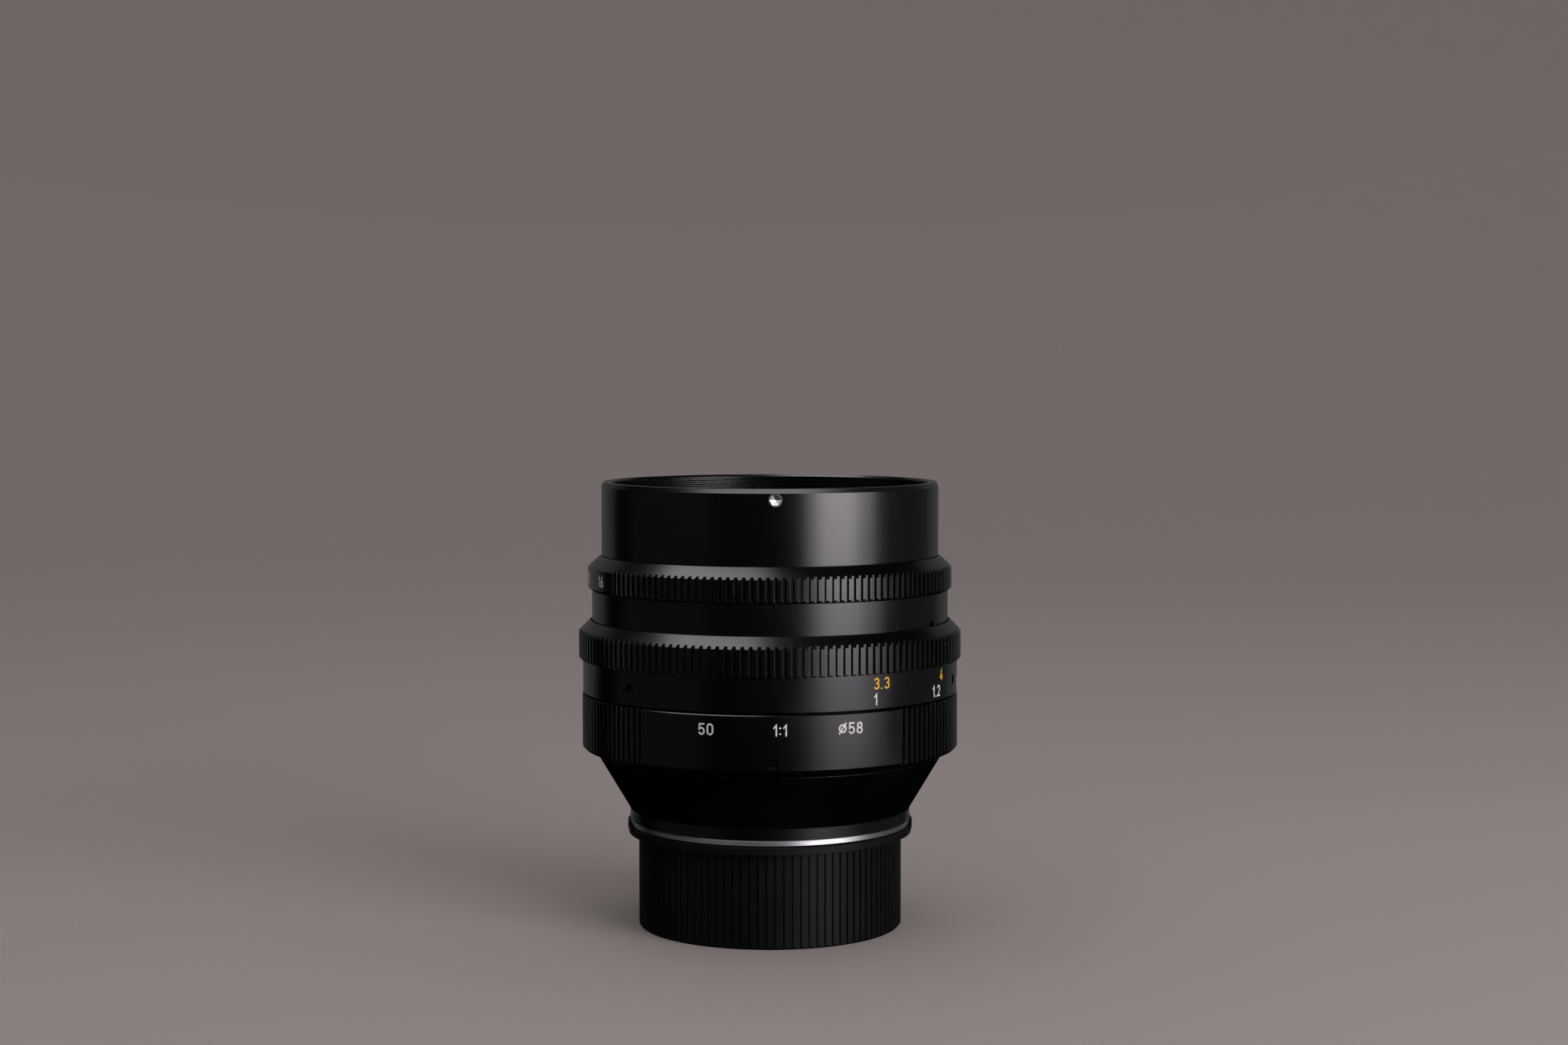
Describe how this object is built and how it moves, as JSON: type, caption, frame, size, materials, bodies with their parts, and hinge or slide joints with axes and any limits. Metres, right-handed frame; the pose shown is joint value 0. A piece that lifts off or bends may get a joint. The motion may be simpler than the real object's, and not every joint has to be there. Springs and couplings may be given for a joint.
{
  "type": "prime camera lens",
  "caption": "Fast prime camera lens with a coupled focusing helicoid, a ribbed aperture ring driving an iris, coated glass elements, a bayonet mount and a twist-on rear cap.",
  "frame": {"origin": "centre of the rear cap's underside, on the optical axis", "axes": "+Z along the optical axis to the front of the lens; the focus index is on the +Y side"},
  "size_m": [0.069, 0.069, 0.0803],
  "materials": {
    "black_anodised": "black anodised, satin, fine turning marks",
    "black_grip": "black anodised, satin, ribbed",
    "black_inner": "black anodised, matt",
    "bright_chrome": "bright chromed brass",
    "turned_brass": "turned",
    "turned_aluminium": "turned",
    "blackened_screw": "blackened",
    "bright_steel": "polished",
    "blade_steel": "blackened, matt",
    "coated_glass": "polished, coated",
    "black_plastic": "moulded, satin",
    "red_bead": "gloss",
    "white_figures": "paint filled into the engraved figures",
    "yellow_figures": "paint filled into the engraved figures"
  },
  "bodies": {
    "barrel": {"mount_barrel": "black_anodised", "index_ring": "black_anodised", "index_ring_screws": "blackened_screw", "bayonet_flange": "bright_chrome", "flange_screws": "bright_steel", "mounting_bead": "red_bead", "guide_keys": "turned_brass", "guide_key_screws": "bright_steel", "focus_stop_screw": "blackened_screw", "focus_bearing_ring": "turned_brass"},
    "focus": {"focus_sleeve": "turned_brass", "distance_scale_ring": "black_anodised", "focus_grip_ring": "black_grip", "focus_set_screws": "blackened_screw"},
    "head": {"head_barrel": "black_anodised", "head_set_screws": "blackened_screw", "helicoid_tube": "turned_aluminium", "front_barrel": "black_anodised", "hood_pins": "bright_steel", "name_ring": "black_anodised", "front_retaining_ring": "black_inner", "front_cell": "black_inner", "middle_retaining_ring": "black_inner", "inner_retaining_ring": "black_inner", "rear_cell": "black_inner", "rear_group_ring": "black_inner", "rear_spacer": "black_inner", "rear_retaining_ring": "black_inner", "rangefinder_cam": "turned_brass", "click_ball": "bright_steel", "click_spring": "bright_steel", "iris_base_plate": "black_inner", "iris_plate_screws": "bright_steel", "element_1_front": "coated_glass", "element_2_front_meniscus": "coated_glass", "element_3_inner_meniscus": "coated_glass", "element_4_cemented_concave": "coated_glass", "element_5_cemented_convex": "coated_glass", "element_6_rear_convex": "coated_glass", "element_7_rear": "coated_glass"},
    "aperture": {"aperture_ring": "black_grip", "aperture_driver_screw": "blackened_screw", "iris_cam_ring": "black_inner"},
    "cap": {"rear_cap": "black_plastic"},
    "blade_01": {"iris_blade_01": "blade_steel"},
    "blade_02": {"iris_blade_02": "blade_steel"},
    "blade_03": {"iris_blade_03": "blade_steel"},
    "blade_04": {"iris_blade_04": "blade_steel"},
    "blade_05": {"iris_blade_05": "blade_steel"},
    "blade_06": {"iris_blade_06": "blade_steel"},
    "blade_07": {"iris_blade_07": "blade_steel"},
    "blade_08": {"iris_blade_08": "blade_steel"},
    "blade_09": {"iris_blade_09": "blade_steel"},
    "blade_10": {"iris_blade_10": "blade_steel"},
    "blade_11": {"iris_blade_11": "blade_steel"}
  },
  "joints": [
    {"name": "focus_turn", "type": "hinge", "parent": "barrel", "child": "focus", "pos_m": [0, 0, 0.045], "axis": [0, 0, 1], "range_deg": [0, 149.6]},
    {"name": "head_slide", "type": "slide", "parent": "barrel", "child": "head", "axis": [0, 0, 1], "range_m": [0, 0.00298]},
    {"name": "aperture_turn", "type": "hinge", "parent": "head", "child": "aperture", "pos_m": [0, 0, 0.064], "axis": [0, 0, 1], "range_deg": [-113.3, 0]},
    {"name": "cap_twist", "type": "hinge", "parent": "barrel", "child": "cap", "pos_m": [0, 0, 0.017], "axis": [0, 0, 1], "range_deg": [-45, 0]},
    {"name": "blade_01_turn", "type": "hinge", "parent": "head", "child": "blade_01", "pos_m": [0.021, 0, 0.0422], "axis": [0, 0, 1], "range_deg": [0, 44.65]},
    {"name": "blade_02_turn", "type": "hinge", "parent": "head", "child": "blade_02", "pos_m": [0.01767, 0.01135, 0.0422], "axis": [0, 0, 1], "range_deg": [0, 44.65]},
    {"name": "blade_03_turn", "type": "hinge", "parent": "head", "child": "blade_03", "pos_m": [0.00872, 0.0191, 0.0422], "axis": [0, 0, 1], "range_deg": [0, 44.65]},
    {"name": "blade_04_turn", "type": "hinge", "parent": "head", "child": "blade_04", "pos_m": [-0.00299, 0.02079, 0.0422], "axis": [0, 0, 1], "range_deg": [0, 44.65]},
    {"name": "blade_05_turn", "type": "hinge", "parent": "head", "child": "blade_05", "pos_m": [-0.01375, 0.01587, 0.0422], "axis": [0, 0, 1], "range_deg": [0, 44.65]},
    {"name": "blade_06_turn", "type": "hinge", "parent": "head", "child": "blade_06", "pos_m": [-0.02015, 0.00592, 0.0422], "axis": [0, 0, 1], "range_deg": [0, 44.65]},
    {"name": "blade_07_turn", "type": "hinge", "parent": "head", "child": "blade_07", "pos_m": [-0.02015, -0.00592, 0.0422], "axis": [0, 0, 1], "range_deg": [0, 44.65]},
    {"name": "blade_08_turn", "type": "hinge", "parent": "head", "child": "blade_08", "pos_m": [-0.01375, -0.01587, 0.0422], "axis": [0, 0, 1], "range_deg": [0, 44.65]},
    {"name": "blade_09_turn", "type": "hinge", "parent": "head", "child": "blade_09", "pos_m": [-0.00299, -0.02079, 0.0422], "axis": [0, 0, 1], "range_deg": [0, 44.65]},
    {"name": "blade_10_turn", "type": "hinge", "parent": "head", "child": "blade_10", "pos_m": [0.00872, -0.0191, 0.0422], "axis": [0, 0, 1], "range_deg": [0, 44.65]},
    {"name": "blade_11_turn", "type": "hinge", "parent": "head", "child": "blade_11", "pos_m": [0.01767, -0.01135, 0.0422], "axis": [0, 0, 1], "range_deg": [0, 44.65]}
  ],
  "couplings": [
    {"joint": "head_slide", "follows": "focus_turn", "m_per_rad": 0.00114},
    {"joint": "blade_01_turn", "follows": "aperture_turn", "ratio": -0.39372},
    {"joint": "blade_02_turn", "follows": "aperture_turn", "ratio": -0.39372},
    {"joint": "blade_03_turn", "follows": "aperture_turn", "ratio": -0.39372},
    {"joint": "blade_04_turn", "follows": "aperture_turn", "ratio": -0.39372},
    {"joint": "blade_05_turn", "follows": "aperture_turn", "ratio": -0.39372},
    {"joint": "blade_06_turn", "follows": "aperture_turn", "ratio": -0.39372},
    {"joint": "blade_07_turn", "follows": "aperture_turn", "ratio": -0.39372},
    {"joint": "blade_08_turn", "follows": "aperture_turn", "ratio": -0.39372},
    {"joint": "blade_09_turn", "follows": "aperture_turn", "ratio": -0.39372},
    {"joint": "blade_10_turn", "follows": "aperture_turn", "ratio": -0.39372},
    {"joint": "blade_11_turn", "follows": "aperture_turn", "ratio": -0.39372}
  ]
}
